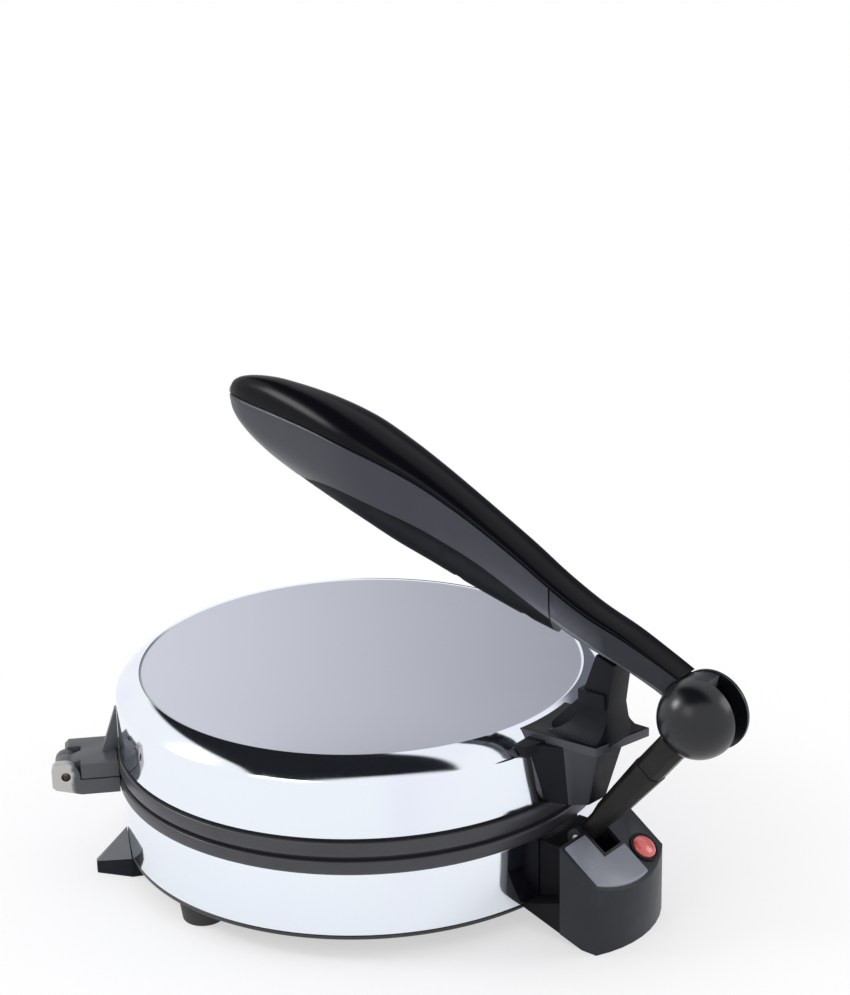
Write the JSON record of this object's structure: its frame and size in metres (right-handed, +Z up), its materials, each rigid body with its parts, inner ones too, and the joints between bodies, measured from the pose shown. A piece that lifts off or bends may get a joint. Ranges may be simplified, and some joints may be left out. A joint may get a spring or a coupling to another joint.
{
  "type": "electric roti maker",
  "caption": "Round electric flatbread press: mirror-finish hinged lid and base with heated non-stick plates, press handle on a side link, power box with red lamp.",
  "frame": {"origin": "centre of the outline on the table, at the underside of the feet", "axes": "+Z up, -X towards the lid's hinge, -Y towards the side the picture shows"},
  "size_m": [0.3078, 0.29, 0.2334],
  "materials": {
    "chrome": "polished",
    "satin_ring": "satin dark grey",
    "black_plastic": "fine satin",
    "gloss_black": "glossy",
    "grip_plastic": "satin",
    "arm_plastic": "satin",
    "box_plastic": "satin",
    "link_plastic": "satin",
    "pan_black": "satin black enamel",
    "hinge_paint": "satin",
    "nonstick_plate": "non-stick coating",
    "heater_tube": "oxidised sheath",
    "galvanised_sheet": "galvanised",
    "zinc_steel": "zinc plated",
    "bright_steel": "turned",
    "brown_bakelite": "moulded bakelite",
    "white_ceramic": "unglazed",
    "foot_rubber": "matt",
    "red_lens": "translucent, glossy",
    "lamp_glass": "clear"
  },
  "bodies": {
    "base": {"base_pan": "pan_black", "base_band": "chrome", "base_ring": "satin_ring", "lower_plate": "nonstick_plate", "lower_heater": "heater_tube", "lower_reflector": "galvanised_sheet", "lower_clamp_screw_1": "zinc_steel", "lower_clamp_screw_2": "zinc_steel", "lower_clamp_screw_3": "zinc_steel", "thermostat": "brown_bakelite", "thermal_fuse": "white_ceramic", "base_post_1": "zinc_steel", "base_post_2": "zinc_steel", "base_post_3": "zinc_steel", "pan_screw_1": "zinc_steel", "pan_screw_2": "zinc_steel", "pan_screw_3": "zinc_steel", "front_foot": "foot_rubber", "rear_left_foot": "foot_rubber", "rear_right_foot": "foot_rubber", "hinge_toe": "black_plastic", "base_hinge_bracket": "hinge_paint", "hinge_pin": "bright_steel", "power_box": "box_plastic", "lamp_bezel": "black_plastic", "indicator_lens": "red_lens", "neon_lamp": "lamp_glass", "box_cover": "pan_black", "terminal_block": "white_ceramic", "cord_gland": "foot_rubber", "link_pin": "bright_steel"},
    "lid": {"lid_ring": "satin_ring", "lid_shell": "chrome", "upper_plate": "nonstick_plate", "upper_heater": "heater_tube", "upper_reflector": "galvanised_sheet", "upper_clamp_screw_1": "zinc_steel", "upper_clamp_screw_2": "zinc_steel", "upper_clamp_screw_3": "zinc_steel", "lid_hinge_bracket": "hinge_paint", "press_bracket": "black_plastic", "bracket_screw_1": "zinc_steel", "bracket_screw_2": "zinc_steel"},
    "link": {"link_sleeve": "link_plastic", "link_end": "link_plastic"},
    "handle": {"handle_top": "gloss_black", "handle_grip": "grip_plastic", "handle_arm": "arm_plastic", "ball_cap": "gloss_black", "far_cap": "gloss_black", "pivot_bolt": "bright_steel", "handle_screw_1": "zinc_steel", "handle_screw_2": "zinc_steel"}
  },
  "joints": [
    {"name": "lid_open", "type": "hinge", "parent": "base", "child": "lid", "pos_m": [-0.14706, 0.02199, 0.0538], "axis": [0, -1, 0], "range_deg": [0, 40]},
    {"name": "link_swing", "type": "hinge", "parent": "base", "child": "link", "pos_m": [0.09437, -0.07821, 0.045], "axis": [0.7314, 0.682, 0], "range_deg": [0, 12]},
    {"name": "handle_lift", "type": "hinge", "parent": "link", "child": "handle", "pos_m": [0.13611, -0.12297, 0.1216], "axis": [0.7314, 0.682, 0], "range_deg": [0, 165]}
  ],
  "couplings": [
    {"joint": "lid_open", "follows": "handle_lift", "ratio": 0.24242}
  ]
}
